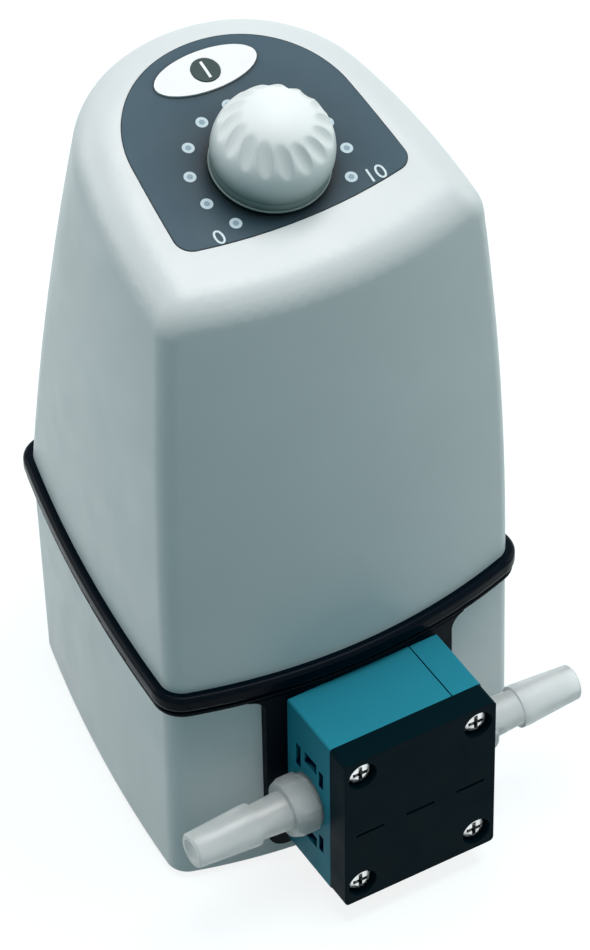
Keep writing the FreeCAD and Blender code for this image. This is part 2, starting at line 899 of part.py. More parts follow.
def speed_knob():
    """Domed knob with twisted scallops, hollow below for the nut."""
    body = new_body("Knob")
    sketch = body.newObject("Sketcher::SketchObject", "Profile")
    sketch.AttachmentSupport = (origin_item(body, "XZ_Plane"), [""])
    sketch.MapMode = "FlatFace"
    belt = math.sqrt(knob_dome_radius ** 2 - knob_radius ** 2)
    high = knob_dome_height + knob_dome_radius
    start = VEC(knob_radius, knob_dome_height - belt, 0)
    top = VEC(0, high, 0)
    bend = math.sqrt(0.5)
    middle = VEC(knob_dome_radius * bend, knob_dome_height + knob_dome_radius * bend, 0)
    corners = [start, VEC(knob_radius, knob_lift, 0), VEC(knob_hollow_radius, knob_lift, 0),
               VEC(knob_hollow_radius, knob_lift + knob_hollow_deep, 0),
               VEC(shaft_radius, knob_lift + knob_hollow_deep, 0),
               VEC(shaft_radius, shaft_top + gap, 0), VEC(0, shaft_top + gap, 0), top]
    sketch.addGeometry(Part.Arc(top, middle, start), False)
    for first, second in zip(corners, corners[1:]):
        sketch.addGeometry(Part.LineSegment(first, second), False)
    spin = body.newObject("PartDesign::Revolution", "Turn")
    spin.Profile = sketch
    spin.ReferenceAxis = (sketch, ["V_Axis"])
    spin.Angle = 360
    doc.recompute()
    scoop = body.newObject("PartDesign::SubtractiveCylinder", "Scoop")
    bind(scoop, Radius="scallop_radius", Height="scallop_long")
    latitude = math.radians(scallop_latitude)
    outward = VEC(math.cos(latitude), 0, math.sin(latitude))
    climb = FreeCAD.Rotation(outward, scallop_twist).multVec(VEC(-math.sin(latitude), 0, math.cos(latitude)))
    reach = knob_dome_radius + scallop_radius - scallop_deep
    centre = VEC(0, 0, knob_dome_height) + outward * reach
    scoop.Placement = FreeCAD.Placement(centre - climb * (scallop_long / 2), FreeCAD.Rotation(UP, climb))
    ring = body.newObject("PartDesign::PolarPattern", "Scallops")
    ring.Originals = [scoop]
    ring.Axis = (origin_item(body, "Z_Axis"), [""])
    ring.Angle = 360
    bind(ring, Occurrences="scallop_count")
    body.Tip = ring
    return node("speed_knob", put_on_dial(body))


def knob_skirt():
    """Thin ring under the knob's rim."""
    ring = turned("Skirt", [("skirt_inner_radius", "knob_lift - skirt_thick"),
                            ("skirt_radius", "knob_lift - skirt_thick"),
                            ("skirt_radius", "knob_lift - skirt_thick / 2"),
                            ("knob_radius", "knob_lift"), ("skirt_inner_radius", "knob_lift")])
    return node("knob_skirt", put_on_dial(ring))


def dial_shaft():
    """Potentiometer shaft in the knob's bore."""
    shaft = turned("DialShaft", [("0", "shaft_foot"), ("shaft_radius", "shaft_foot"),
                                 ("shaft_radius", "shaft_top - shaft_chamfer"),
                                 ("shaft_radius - shaft_chamfer", "shaft_top"),
                                 ("0", "shaft_top")])
    return node("dial_shaft", put_on_dial(shaft))


def dial_potentiometer():
    """Potentiometer body on the board, with its bush through the housing."""
    can = put_on_dial(box("pot_wide", "pot_wide", "pot_tall"), "-pot_wide / 2", "-pot_wide / 2",
                      "-board_drop")
    bush = put_on_dial(pole("bush_radius", "pot_drop + bush_top"), above="-pot_drop")
    bore = put_on_dial(pole("shaft_radius + running_gap", "bush_top - shaft_foot + gap"),
                       above="shaft_foot - gap")
    return node("dial_potentiometer", cut(fuse(can, bush), bore))


def hexagon(body, across, z="0"):
    """Six-sided sketch on a body's base plane, flats parted by a distance."""
    corners = [("%s / sqrt(3) * cos(%d)" % (across, turn), "%s / sqrt(3) * sin(%d)" % (across, turn))
               for turn in range(0, 360, 60)]
    sketch = polygon(body, corners, "XY_Plane")
    sketch.setExpression("AttachmentOffset.Base.z", words(z))
    return sketch


def padded(body, sketch, length):
    """Pad a sketch by an expression."""
    pad = body.newObject("PartDesign::Pad", "Pad")
    pad.Profile = sketch
    bind(pad, Length=length)
    return pad


def potentiometer_nut():
    """Hexagon nut that holds the potentiometer in the housing."""
    body = new_body("Nut")
    padded(body, hexagon(body, "nut_across"), "nut_thick")
    put_on_dial(body, above="label_proud")
    bore = put_on_dial(pole("bush_radius + running_gap", "2 * nut_thick"),
                       above="label_proud - nut_thick / 2")
    return node("potentiometer_nut", cut(body, bore))


def control_board():
    """Circuit board on the standoffs under the dial face."""
    board = put_on_dial(box("2 * board_half", "board_rear_v - board_front_v", "board_thick"),
                        "-board_half", "board_front_v", "-board_drop - board_thick")
    holes = [put_on_dial(pole("board_screw_radius + gap", "2 * board_thick"), x, v,
                         "-board_drop - 1.5 * board_thick") for x, v in standoff_places()]
    return node("control_board", cut(board, *holes))


def board_screws():
    """Four screws from below into the standoffs."""
    screws = []
    for x, v in standoff_places():
        screw = turned("BoardScrew", [("0", "-board_drop - board_thick - board_screw_head_tall"),
                                      ("board_screw_head_radius",
                                       "-board_drop - board_thick - board_screw_head_tall"),
                                      ("board_screw_head_radius", "-board_drop - board_thick"),
                                      ("board_screw_radius", "-board_drop - board_thick"),
                                      ("board_screw_radius", "board_screw_long - board_drop - board_thick"),
                                      ("0", "board_screw_long - board_drop - board_thick")])
        screws.append(put_on_dial(screw, x, v))
    return node("board_screws", group(screws))


def ellipse_pad(half_long, half_short, above, thick):
    """Flat oval on the dial face."""
    wire = Part.Wire([Part.Ellipse(VEC(), half_long, half_short).toShape()])
    form = slab(wire, thick)
    form.Placement = FreeCAD.Placement(dial_point(0, button_v, above), FreeCAD.Rotation(RIGHT, dial_slope))
    return form


def button_pad():
    """White oval round the button."""
    pad = solid(ellipse_pad(pad_half_long, pad_half_short, label_proud, pad_thick))
    hole = put_on_dial(pole("button_radius + gap", "2 * pad_thick"), along="button_v",
                       above="label_proud - pad_thick / 2")
    return node("button_pad", cut(pad, hole))


def power_button():
    """Round button with its captive flange and stem."""
    button = turned("Button", [("0", "button_foot"), ("button_stem_radius", "button_foot"),
                               ("button_stem_radius", "-wall - button_room - button_flange_thick"),
                               ("button_flange_radius", "-wall - button_room - button_flange_thick"),
                               ("button_flange_radius", "-wall - button_room"),
                               ("button_radius", "-wall - button_room"),
                               ("button_radius", "button_top - button_chamfer"),
                               ("button_radius - button_chamfer", "button_top"),
                               ("0", "button_top")])
    return node("power_button", put_on_dial(button, along="button_v"))


def power_switch():
    """Push switch on the board under the button."""
    body = box("switch_wide", "switch_wide", "switch_tall")
    return node("power_switch",
                put_on_dial(body, "-switch_wide / 2", "button_v - switch_wide / 2", "-board_drop"))


# Pump head

def head_screw_places():
    return [(hand + " * screw_half_x", "head_z + %s * screw_half_z" % side)
            for hand in ("-1", "1") for side in ("-1", "1")]


def head_plate():
    """Black cover plate with sunk screw holes and three short marks."""
    raw = box("plate_wide", "plate_thick", "plate_tall", "-plate_wide / 2", "head_front",
              "head_z - plate_tall / 2")
    plate = rounded(raw, plate_corner, straight_along(REAR))
    tools = [pole("screw_radius + running_gap", "2 * plate_thick", x, "head_front", z, REAR)
             for x, z in head_screw_places()]
    tools += [pole("sink_radius", "screw_sunk + screw_head_tall", x, "head_front", z, REAR)
              for x, z in head_screw_places()]
    for place in ("-1", "0", "1"):
        tools.append(box("mark_long", "2 * mark_deep", "mark_tall", place + " * mark_pitch - mark_long / 2",
                         "head_front - mark_deep", "head_z - mark_drop - mark_tall / 2"))
    return node("head_plate", cut(plate, *tools))


def head_screws():
    """Four cross-head screws that clamp the head to the drive frame."""
    screws = [aim(pan_screw("screw_radius", "screw_long", "screw_head_radius", "screw_head_tall"),
                  FRONT, x, "head_front + screw_sunk + screw_head_tall", z) for x, z in head_screw_places()]
    return node("head_screws", group(screws))


def side_slots(hand):
    """Moulding pockets in one side of the head block, above and below the port."""
    pockets = []
    for name in ("near", "mid", "far"):
        for side in ("1", "-1"):
            low = ("port_z + %s * (slot_%s_low + slot_%s_tall / 2) - slot_%s_tall / 2"
                   % (side, name, name, name))
            x = "plate_wide / 2 - slot_deep" if hand > 0 else "-plate_wide / 2 - slot_deep"
            pockets.append(box("2 * slot_deep", "slot_%s_wide" % name, "slot_%s_tall" % name,
                               x, "port_y + slot_%s_y" % name, low))
    return pockets


def head_block():
    """Blue block with both ports, the valve pockets and the diaphragm's dish."""
    raw = box("plate_wide", "block_deep", "plate_tall", "-plate_wide / 2", "block_front",
              "head_z - plate_tall / 2")
    block = rounded(raw, block_corner, straight_along(REAR))
    tools = [pole("screw_radius + running_gap", "block_deep", x, "block_front", z, REAR)
             for x, z in head_screw_places()]
    tools += side_slots(1) + side_slots(-1)
    tools.append(box("seam_wide", "block_deep", "2 * seam_deep", "seam_x", "block_front",
                     "head_z + plate_tall / 2 - seam_deep"))
    for hand, toward in (("-1", RIGHT), ("1", LEFT)):
        tools.append(pole("stub_radius + running_gap", "stub_long + gap", hand + " * plate_wide / 2",
                          "port_y", "port_z", toward))
        tools.append(pole("passage_radius", "plate_wide / 2 - valve_x", hand + " * plate_wide / 2",
                          "port_y", "port_z", toward))
    tools.append(pole("seal_radius + gap", "seal_thick", "0", "block_front", "head_z", REAR))
    tools.append(pole("rim_radius + gap", "rim_thick", "0", "block_rear", "head_z", FRONT))
    dish = turned("Dish", [("0", "0"), ("dish_radius", "0"), ("dish_floor_radius", "dish_deep"),
                           ("0", "dish_deep")])
    tools.append(aim(dish, FRONT, "0", "rim_front", "head_z"))
    tools.append(pole("pocket_radius", "dish_deep + inlet_pocket_deep",
                      "-valve_x", "rim_front", "port_z", FRONT))
    tools.append(pole("passage_radius", "inlet_seat - port_y", "-valve_x", "port_y", "port_z", REAR))
    tools.append(pole("passage_radius", "rim_front - outlet_seat",
                      "valve_x", "outlet_seat", "outlet_z", REAR))
    tools.append(pole("pocket_radius", "seal_thick + outlet_pocket_deep",
                      "valve_x", "block_front", "outlet_z", REAR))
    tools.append(pole("passage_radius", "port_y - block_front", "valve_x", "block_front", "port_z", REAR))
    tools.append(box("2 * passage_radius", "seal_thick + channel_deep", "outlet_drop",
                     "valve_x - passage_radius", "block_front", "outlet_z"))
    return node("head_block", cut(block, *tools))


def head_seal():
    """Flat rubber seal between cover plate and block."""
    return node("head_seal", pole("seal_radius", "seal_thick", "0", "block_front", "head_z", REAR))


def valve_disc(label, toward, x, y, z):
    """Rubber disc that lifts off its seat."""
    disc = turned("Disc", [("0", "0"), ("valve_radius", "0"), ("valve_radius", "valve_thick"),
                           ("0", "valve_thick")])
    return node(label, aim(disc, toward, x, y, z))


def valve_cages():
    """Two cup rings that hold the valve discs near their seats."""
    cages = []
    for toward, x, y, z in ((REAR, "-valve_x", "inlet_seat", "port_z"),
                            (FRONT, "valve_x", "outlet_seat", "outlet_z")):
        cage = turned("Cage", [("valve_radius + cage_clear", "0"), ("pocket_radius", "0"),
                               ("pocket_radius", "cage_tall"), ("cage_lip_radius", "cage_tall"),
                               ("cage_lip_radius", "cage_tall - cage_lip"),
                               ("valve_radius + cage_clear", "cage_tall - cage_lip")])
        cages.append(aim(cage, toward, x, y, z))
    return node("valve_cages", group(cages))


def diaphragm():
    """Moulded diaphragm, drawn at the top of its stroke: rim, thin web and thick centre with nose."""
    web = "centre_push - web_thick"
    body = turned("Diaphragm", [("0", "centre_push"), ("centre_radius", "centre_push"),
                                ("dish_radius - web_clear", "0"),
                                ("rim_radius", "0"), ("rim_radius", "-rim_thick"),
                                ("dish_radius - web_clear", "-rim_thick"),
                                ("centre_radius", web), ("centre_radius", "centre_push - centre_thick"),
                                ("nose_radius", "centre_push - centre_thick"),
                                ("nose_radius", "centre_push - centre_thick - nose_long"),
                                ("0", "centre_push - centre_thick - nose_long")])
    return node("diaphragm", aim(body, FRONT, "0", "rim_front", "head_z"))


def hose_fitting(label, hand):
    """Translucent hose barb: threaded stub, seal ring, hexagon, neck, crest and tapered tip."""
    neck_start = "ring_thick + hex_thick"
    crest_start = neck_start + " + neck_long"
    tip_start = crest_start + " + crest_long"
    tip_end = tip_start + " + tip_long"
    body = turned("Fitting", [("bore_radius", "-stub_long"), ("stub_radius", "-stub_long"),
                              ("stub_radius", "ring_thick"), ("neck_root_radius", "ring_thick"),
                              ("neck_root_radius", neck_start), ("neck_radius", crest_start),
                              ("crest_radius", crest_start), ("crest_radius", tip_start),
                              ("tip_radius", tip_end + " - tip_chamfer"),
                              ("tip_radius - tip_chamfer", tip_end),
                              ("bore_radius", tip_end)])
    doc.recompute()
    padded(body, hexagon(body, "hex_across", "ring_thick"), "hex_thick")
    doc.recompute()
    trim = turned("Trim", [("0", "-stub_long"), ("hex_round_radius", "-stub_long"),
                           ("hex_round_radius", "ring_thick + hex_flat_share * hex_thick"),
                           ("hex_across / 2", "ring_thick + hex_thick"), ("hex_across / 2", tip_end),
                           ("0", tip_end)])
    whole = common(body, trim)
    bore = pole("bore_radius", tip_end + " + stub_long", z="-stub_long")
    fitting = cut(whole, bore)
    return node(label, aim(fitting, hand, "%d * plate_wide / 2" % hand.x, "port_y", "port_z"))


def fitting_rings():
    """Seal rings between the fittings and the block."""
    rings = []
    for hand in (LEFT, RIGHT):
        ring = turned("Ring", [("stub_radius + running_gap", "0"), ("ring_radius", "0"),
                               ("ring_radius", "ring_thick"), ("stub_radius + running_gap", "ring_thick")])
        rings.append(aim(ring, hand, "%d * plate_wide / 2" % hand.x, "port_y", "port_z"))
    return node("fitting_rings", group(rings))


# Drive

def drive_frame():
    """Cast frame: head flange, crank chamber and motor seat."""
    flange = box("flange_wide", "flange_thick", "flange_tall", "-flange_wide / 2", "block_rear",
                 "head_z - flange_tall / 2")
    body = box("2 * frame_half", "frame_rear - block_rear - flange_thick", "frame_top_z - frame_foot_z",
               "-frame_half", "block_rear + flange_thick", "frame_foot_z")
    case = rounded(body, corner_radius, straight_along(UP))
    tools = [pole("chamber_radius", "frame_top_z - frame_top_thick - frame_foot_z + gap", "0", "motor_y",
                  "frame_foot_z - gap")]
    tools.append(pole("neck_bore_radius", "motor_y - block_rear", "0", "block_rear", "head_z", REAR))
    tools.append(pole("dish_radius", "rim_thick", "0", "block_rear", "head_z", REAR))
    tools.append(pole("pilot_radius + running_gap", "2 * frame_top_thick", "0", "motor_y",
                      "frame_top_z - 1.5 * frame_top_thick"))
    tools += [pole("motor_screw_radius + running_gap", "2 * frame_top_thick", hand + " * motor_screw_half",
                   "motor_y", "frame_top_z - 1.5 * frame_top_thick") for hand in ("-1", "1")]
    tools += [pole("screw_radius + running_gap", "screw_reach - block_rear + gap", x, "block_rear", z, REAR)
              for x, z in head_screw_places()]
    return node("drive_frame", cut(fuse(flange, case), *tools))


def frame_cover():
    """Round cover pressed into the crank chamber's foot."""
    return node("frame_cover",
                pole("chamber_radius - running_gap", "cover_thick", "0", "motor_y", "frame_foot_z"))


def rubber_mounts():
    """Four buffers between the housing floor and the frame."""
    mounts = [pole("mount_radius", "frame_foot_z - floor_z", hand + " * mount_half_x", "mount_%s_y" % end,
                   "floor_z")
              for end in ("front", "rear") for hand in ("-1", "1")]
    return node("rubber_mounts", group(mounts))


def motor_can():
    """Steel motor case with its pilot in the frame."""
    can = turned("Motor", [("motor_shaft_radius + running_gap", "-pilot_tall"),
                           ("pilot_radius", "-pilot_tall"),
                           ("pilot_radius", "0"), ("motor_radius", "0"), ("motor_radius", "motor_long"),
                           ("motor_shaft_radius + running_gap", "motor_long")])
    put(can, "0", "motor_y", "frame_top_z")
    screw_holes = [pole("motor_screw_radius + running_gap", "motor_screw_long", hand + " * motor_screw_half",
                        "motor_y", "frame_top_z") for hand in ("-1", "1")]
    return node("motor_can", cut(can, *screw_holes))


def motor_cap():
    """Plastic end cap with two terminals."""
    cap = pole("motor_cap_radius", "motor_cap_tall", "0", "motor_y", "frame_top_z + motor_long")
    bore = pole("motor_shaft_radius + running_gap", "2 * motor_cap_tall", "0", "motor_y",
                "frame_top_z + motor_long - motor_cap_tall / 2")
    tabs = [box("terminal_thick", "terminal_wide", "terminal_tall", hand + " * motor_cap_radius / 2",
                "motor_y - terminal_wide / 2", "frame_top_z + motor_long + motor_cap_tall - terminal_sunk")
            for hand in ("-1", "1")]
    return node("motor_cap", cut(fuse(cap, *tabs), bore))


def motor_screws():
    """Two screws from inside the chamber into the motor."""
    screws = []
    for hand in ("-1", "1"):
        screw = pan_screw("motor_screw_radius", "motor_screw_long + frame_top_thick - gap",
                          "motor_screw_head_radius", "motor_screw_head_tall", False)
        screws.append(aim(screw, DOWN, hand + " * motor_screw_half", "motor_y",
                          "frame_top_z - frame_top_thick"))
    return node("motor_screws", group(screws))


def motor_shaft():
    """Motor shaft from the eccentric up through the end cap."""
    reach = "frame_top_z + motor_long + motor_cap_tall + shaft_end_proud - hub_foot_z"
    return node("motor_shaft", pole("motor_shaft_radius", reach, "0", "motor_y", "hub_foot_z"))


def eccentric():
    """Hub with crank pin and balance weight, drawn with the pin towards the head."""
    hub = pole("hub_radius", "hub_tall", "0", "motor_y", "hub_foot_z")
    disc = pole("weight_radius", "weight_tall", "0", "motor_y", "hub_foot_z")
    rear_half = box("2 * weight_radius", "weight_radius", "weight_tall", "-weight_radius", "motor_y",
                    "hub_foot_z")
    weight = common(disc, rear_half)
    pin = pole("pin_radius", "hub_foot_z - bearing_z + pin_root", "0", "motor_y - throw", "bearing_z")
    bore = pole("motor_shaft_radius", "hub_tall", "0", "motor_y", "hub_foot_z")
    return node("eccentric", cut(fuse(hub, weight, pin), bore))


def bearing_ring(label, inner, outer):
    """One race of the ball bearing, with its ball groove."""
    race = turned("Race", [(inner, "0"), (outer, "0"), (outer, "bearing_tall"), (inner, "bearing_tall")])
    put(race, "0", "motor_y - throw", "bearing_z")
    groove = doc.addObject("Part::Torus", "Groove")
    bind(groove, Radius1="ball_circle", Radius2="ball_radius + race_groove")
    put(groove, "0", "motor_y - throw", "bearing_z + bearing_tall / 2")
    return node(label, cut(race, groove))


def bearing_balls():
    """Balls between the races."""
    balls = []
    for i in range(int(ball_count)):
        ball = doc.addObject("Part::Sphere", "Ball")
        bind(ball, Radius="ball_radius")
        turn = "%d * 360 / ball_count" % i
        balls.append(put(ball, "ball_circle * cos(%s)" % turn,
                         "motor_y - throw + ball_circle * sin(%s)" % turn,
                         "bearing_z + bearing_tall / 2"))
    return node("bearing_balls", group(balls))


def connecting_rod():
    """Rod from the crank bearing to the diaphragm's nose."""
    ring = pole("big_end_radius", "bearing_tall", "0", "motor_y - throw", "bearing_z")
    bar = box("rod_wide", "motor_y - throw - rod_face", "rod_tall", "-rod_wide / 2", "rod_face",
              "head_z - rod_tall / 2")
    nose = pole("rod_nose_radius", "rod_nose_long", "0", "rod_face", "head_z", REAR)
    bore = pole("bearing_radius", "bearing_tall", "0", "motor_y - throw", "bearing_z")
    return node("connecting_rod", cut(fuse(ring, bar, nose), bore))


# Mains inlet and power supply

def blades():
    """The inlet's three flat pins, rooted in the socket's floor."""
    return [box("blade_wide", "blade_long + blade_root", "blade_tall", "%s - blade_wide / 2" % x,
                "recess_y + inlet_flange_thick - socket_deep - blade_root",
                "inlet_z - blade_tall / 2 + " + z)
            for x, z in (("-blade_spacing", "blade_low"), ("0", "earth_high"),
                         ("blade_spacing", "blade_low"))]


def mains_inlet():
    """Shell of the three-pin appliance inlet in the rear recess."""
    flange = box("inlet_flange_wide", "inlet_flange_thick", "inlet_flange_tall",
                 "-inlet_flange_wide / 2", "recess_y", "inlet_z - inlet_flange_tall / 2")
    shell = box("inlet_body_wide", "inlet_body_deep", "inlet_body_tall",
                "-inlet_body_wide / 2", "recess_y - inlet_body_deep", "inlet_z - inlet_body_tall / 2")
    socket = box("socket_wide", "socket_deep", "socket_tall", "-socket_wide / 2",
                 "recess_y + inlet_flange_thick - socket_deep", "inlet_z - socket_tall / 2")
    body = fuse(rounded(flange, inlet_corner, straight_along(REAR)), shell)
    return node("mains_inlet", cut(body, rounded(socket, socket_corner, straight_along(REAR)), *blades()))


def inlet_pins():
    """Line, earth and neutral pins of the inlet."""
    return node("inlet_pins", group(blades()))


def power_board():
    """Power supply board on its pillars."""
    board = box("2 * supply_half", "supply_rear_y - supply_front_y", "board_thick",
                "-supply_half", "supply_front_y", "supply_z")
    return node("power_board", board)


def transformer():
    """Laminated core with the winding through it."""
    foot = "supply_z + board_thick"
    left = "-winding_share * transformer_wide / 2"
    core = box("transformer_wide", "core_share * transformer_deep", "transformer_tall",
               "-transformer_wide / 2",
               "transformer_y + (1 - core_share) * transformer_deep / 2", foot)
    winding = box("winding_share * transformer_wide", "transformer_deep", "window_share * transformer_tall",
                  left, "transformer_y", foot + " + bobbin_share * transformer_tall")
    feet = box("winding_share * transformer_wide", "transformer_deep", "bobbin_share * transformer_tall",
               left, "transformer_y", foot)
    return node("transformer", fuse(core, winding, feet))


def smoothing_capacitor():
    """Electrolytic capacitor standing on the board."""
    can = turned("Capacitor", [("0", "0"), ("capacitor_radius", "0"),
                               ("capacitor_radius", "capacitor_groove_z - capacitor_groove_half"),
                               ("capacitor_radius - capacitor_groove_deep", "capacitor_groove_z"),
                               ("capacitor_radius", "capacitor_groove_z + capacitor_groove_half"),
                               ("capacitor_radius", "capacitor_tall"), ("0", "capacitor_tall")])
    return node("smoothing_capacitor", put(can, "capacitor_x", "capacitor_y", "supply_z + board_thick"))


fill_sheet()
upper_foot_z = derive("upper_foot_z", "lower_top_z + band_web")
floor_z = derive("floor_z", "lower_base_z + floor_thick")
board_drop = derive("board_drop", "pot_drop + pot_tall")
label_proud = derive("label_proud", "label_thick - label_sunk")
button_top = derive("button_top", "label_proud + pad_thick + button_proud")
button_room = derive("button_room", "gap * 4")
button_foot = derive("button_foot", "switch_tall - board_drop + button_travel + gap")
head_spare = derive("head_spare", "gap")
block_front = derive("block_front", "head_front + plate_thick")
block_rear = derive("block_rear", "block_front + block_deep")
rim_front = derive("rim_front", "block_rear - rim_thick")
port_y = derive("port_y", "head_front + port_depth")
valve_x = derive("valve_x", "plate_wide / 2 - stub_long - pocket_radius - port_web")
port_z = derive("port_z", "head_z - port_drop")
outlet_z = derive("outlet_z", "port_z - outlet_drop")
inlet_seat = derive("inlet_seat", "rim_front - dish_deep - inlet_pocket_deep")
outlet_seat = derive("outlet_seat", "block_front + seal_thick + outlet_pocket_deep")
cage_tall = derive("cage_tall", "valve_thick + valve_lift + gap + cage_lip")
screw_reach = derive("screw_reach", "head_front + screw_sunk + screw_head_tall + screw_long")
rod_face = derive("rod_face", "rim_front - centre_push + centre_thick + nose_long + seat_gap")
ball_circle = derive("ball_circle", "(inner_race_radius + outer_race_radius) / 2")
base_rear = derive_rear("base")
joint_rear = derive_rear("joint")
recess_low = derive("recess_low", "inlet_z - inlet_flange_tall / 2 - lower_base_z")
rear_lean = derive("rear_lean", "(joint_rear - base_rear) / (lower_top_z - lower_base_z)")
recess_y = derive("recess_y", "base_rear + rear_lean * recess_low - recess_deep")
recess_wide = derive("recess_wide", "inlet_flange_wide + 4 * gap")
recess_tall = derive("recess_tall", "inlet_flange_tall + 4 * gap")

BASE = (base_half, base_front, base_widest, base_side_bow, base_rear_corner, side_turn, rear_turn)
JOINT = (joint_half, joint_front, joint_widest, joint_side_bow, joint_rear_corner, side_turn, rear_turn)
CROWN = (crown_half, crown_front, crown_widest, crown_side_bow, crown_rear_corner, side_turn, rear_turn)

upper_form = housing_form(upper_foot_z, 0.0, corner_radius, top_edge_radius, 0.0)
upper_housing()
lower_housing()
seal_band()
head_collar()
control_label()
rubber_feet()
housing_screws()
speed_knob()
knob_skirt()
dial_shaft()
dial_potentiometer()
potentiometer_nut()
control_board()
board_screws()
button_pad()
power_button()
power_switch()
head_plate()
head_screws()
head_block()
head_seal()
valve_disc("inlet_valve", REAR, "-valve_x", "inlet_seat", "port_z")
valve_disc("outlet_valve", FRONT, "valve_x", "outlet_seat", "outlet_z")
valve_cages()
diaphragm()
hose_fitting("inlet_fitting", LEFT)
hose_fitting("outlet_fitting", RIGHT)
fitting_rings()
drive_frame()
frame_cover()
rubber_mounts()
motor_can()
motor_cap()
motor_screws()
motor_shaft()
eccentric()
bearing_ring("bearing_inner_race", "pin_radius", "inner_race_radius")
bearing_ring("bearing_outer_race", "outer_race_radius", "bearing_radius")
bearing_balls()
connecting_rod()
mains_inlet()
inlet_pins()
power_board()
transformer()
smoothing_capacitor()
doc.recompute()

for thing in doc.Objects:
    faults = {"Invalid", "Error"} & set(thing.State)
    if faults:
        raise RuntimeError("%s (%s) failed: %s" % (thing.Name, thing.Label, faults))
for thing in NODES:
    if thing.Shape.isNull() or not thing.Shape.isValid() or not thing.Shape.Solids:
        raise RuntimeError("%s has no valid solid" % thing.Label)

os.makedirs("parts", exist_ok=True)
for thing in NODES:
    thing.Shape.exportStep("parts/%s.step" % thing.Label)
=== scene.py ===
"""Looks of the diaphragm liquid pump: finishes, dial print, small trim, light and camera.

Metres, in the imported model's own frame. The photograph is 590 x 950 pixels.
"""

from collections import namedtuple
import math

import bmesh
import bpy
from mathutils import Matrix, Vector


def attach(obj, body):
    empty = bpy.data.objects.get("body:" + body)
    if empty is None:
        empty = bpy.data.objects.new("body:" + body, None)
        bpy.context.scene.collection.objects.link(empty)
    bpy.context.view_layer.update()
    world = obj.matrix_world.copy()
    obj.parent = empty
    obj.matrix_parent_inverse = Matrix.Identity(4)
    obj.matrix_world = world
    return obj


MM = 0.001

# Camera, solved from the photograph
CAMERA_PLACE = (-0.594692, -1.016841, 1.220566)
CAMERA_AZIMUTH = math.radians(-30.62)
CAMERA_ELEVATION = math.radians(43.64)
CAMERA_ROLL = 0.011589
CAMERA_LENS = 225.76
SENSOR = 36.0
CLIP_START = 0.05
CLIP_END = 20.0

# Dial face: the knob's axis meets it here, and it slopes up towards the rear
DIAL_Y = -0.8 * MM
DIAL_Z = 209.4 * MM
DIAL_SLOPE = math.radians(14.3)
LABEL_PROUD = 0.2 * MM

# Print on the label
PRINT_THICK = 0.06 * MM
DOT_COUNT = 11
DOT_CIRCLE = 21.56 * MM
DOT_SWEEP = math.radians(125.85)
DOT_OUTER = 1.7 * MM
DOT_INNER = 0.82 * MM
DOT_CENTRE_THICK = 0.8 * PRINT_THICK
NUMBER_SIZE = 6.4 * MM
NUMBER_PLACES = {
    "0": (-23.6 * MM, -14.9 * MM),
    "10": (23.8 * MM, -14.6 * MM),
}

# On/off button
BUTTON_ALONG = 33.7 * MM
BUTTON_TOP = 1.05 * MM
BAR_LONG = 5.6 * MM
BAR_WIDE = 0.8 * MM
BAR_EDGE = 0.3 * PRINT_THICK

# Shading of the housings: patches closer than this are joined, and sharper turns stay edges
WELD_REACH = 0.002 * MM
SHARP_TURN = math.radians(25.0)

WHITE = (1.0, 1.0, 1.0, 1.0)


def dial_matrix(across, along, above):
    """Places a piece on the dial face: across it, up its slope and above its surface."""
    face = Matrix.Translation((0.0, DIAL_Y, DIAL_Z)) @ Matrix.Rotation(DIAL_SLOPE, 4, "X")
    return face @ Matrix.Translation((across, along, above))


def new_object(name, mesh_builder, material, matrix):
    """Makes a mesh object from a bmesh that a builder fills, and places it."""
    mesh = bpy.data.meshes.new(name)
    form = bmesh.new()
    mesh_builder(form)
    form.to_mesh(mesh)
    form.free()
    thing = bpy.data.objects.new(name, mesh)
    bpy.context.scene.collection.objects.link(thing)
    thing.data.materials.append(material)
    thing.matrix_world = matrix
    return thing


# Node trees

# Other pieces shelter a place only from this reach on
WIDE_REACH = 10.0 * MM

# Rays per place that look for shelter and for edges
SURFACE_SAMPLES = 8

NOISE_ROUGHNESS = 0.55

# Likeness of the rounded and the flat normal, from an edge to an open face
EDGE_LIKENESS = 0.93
FACE_LIKENESS = 0.99


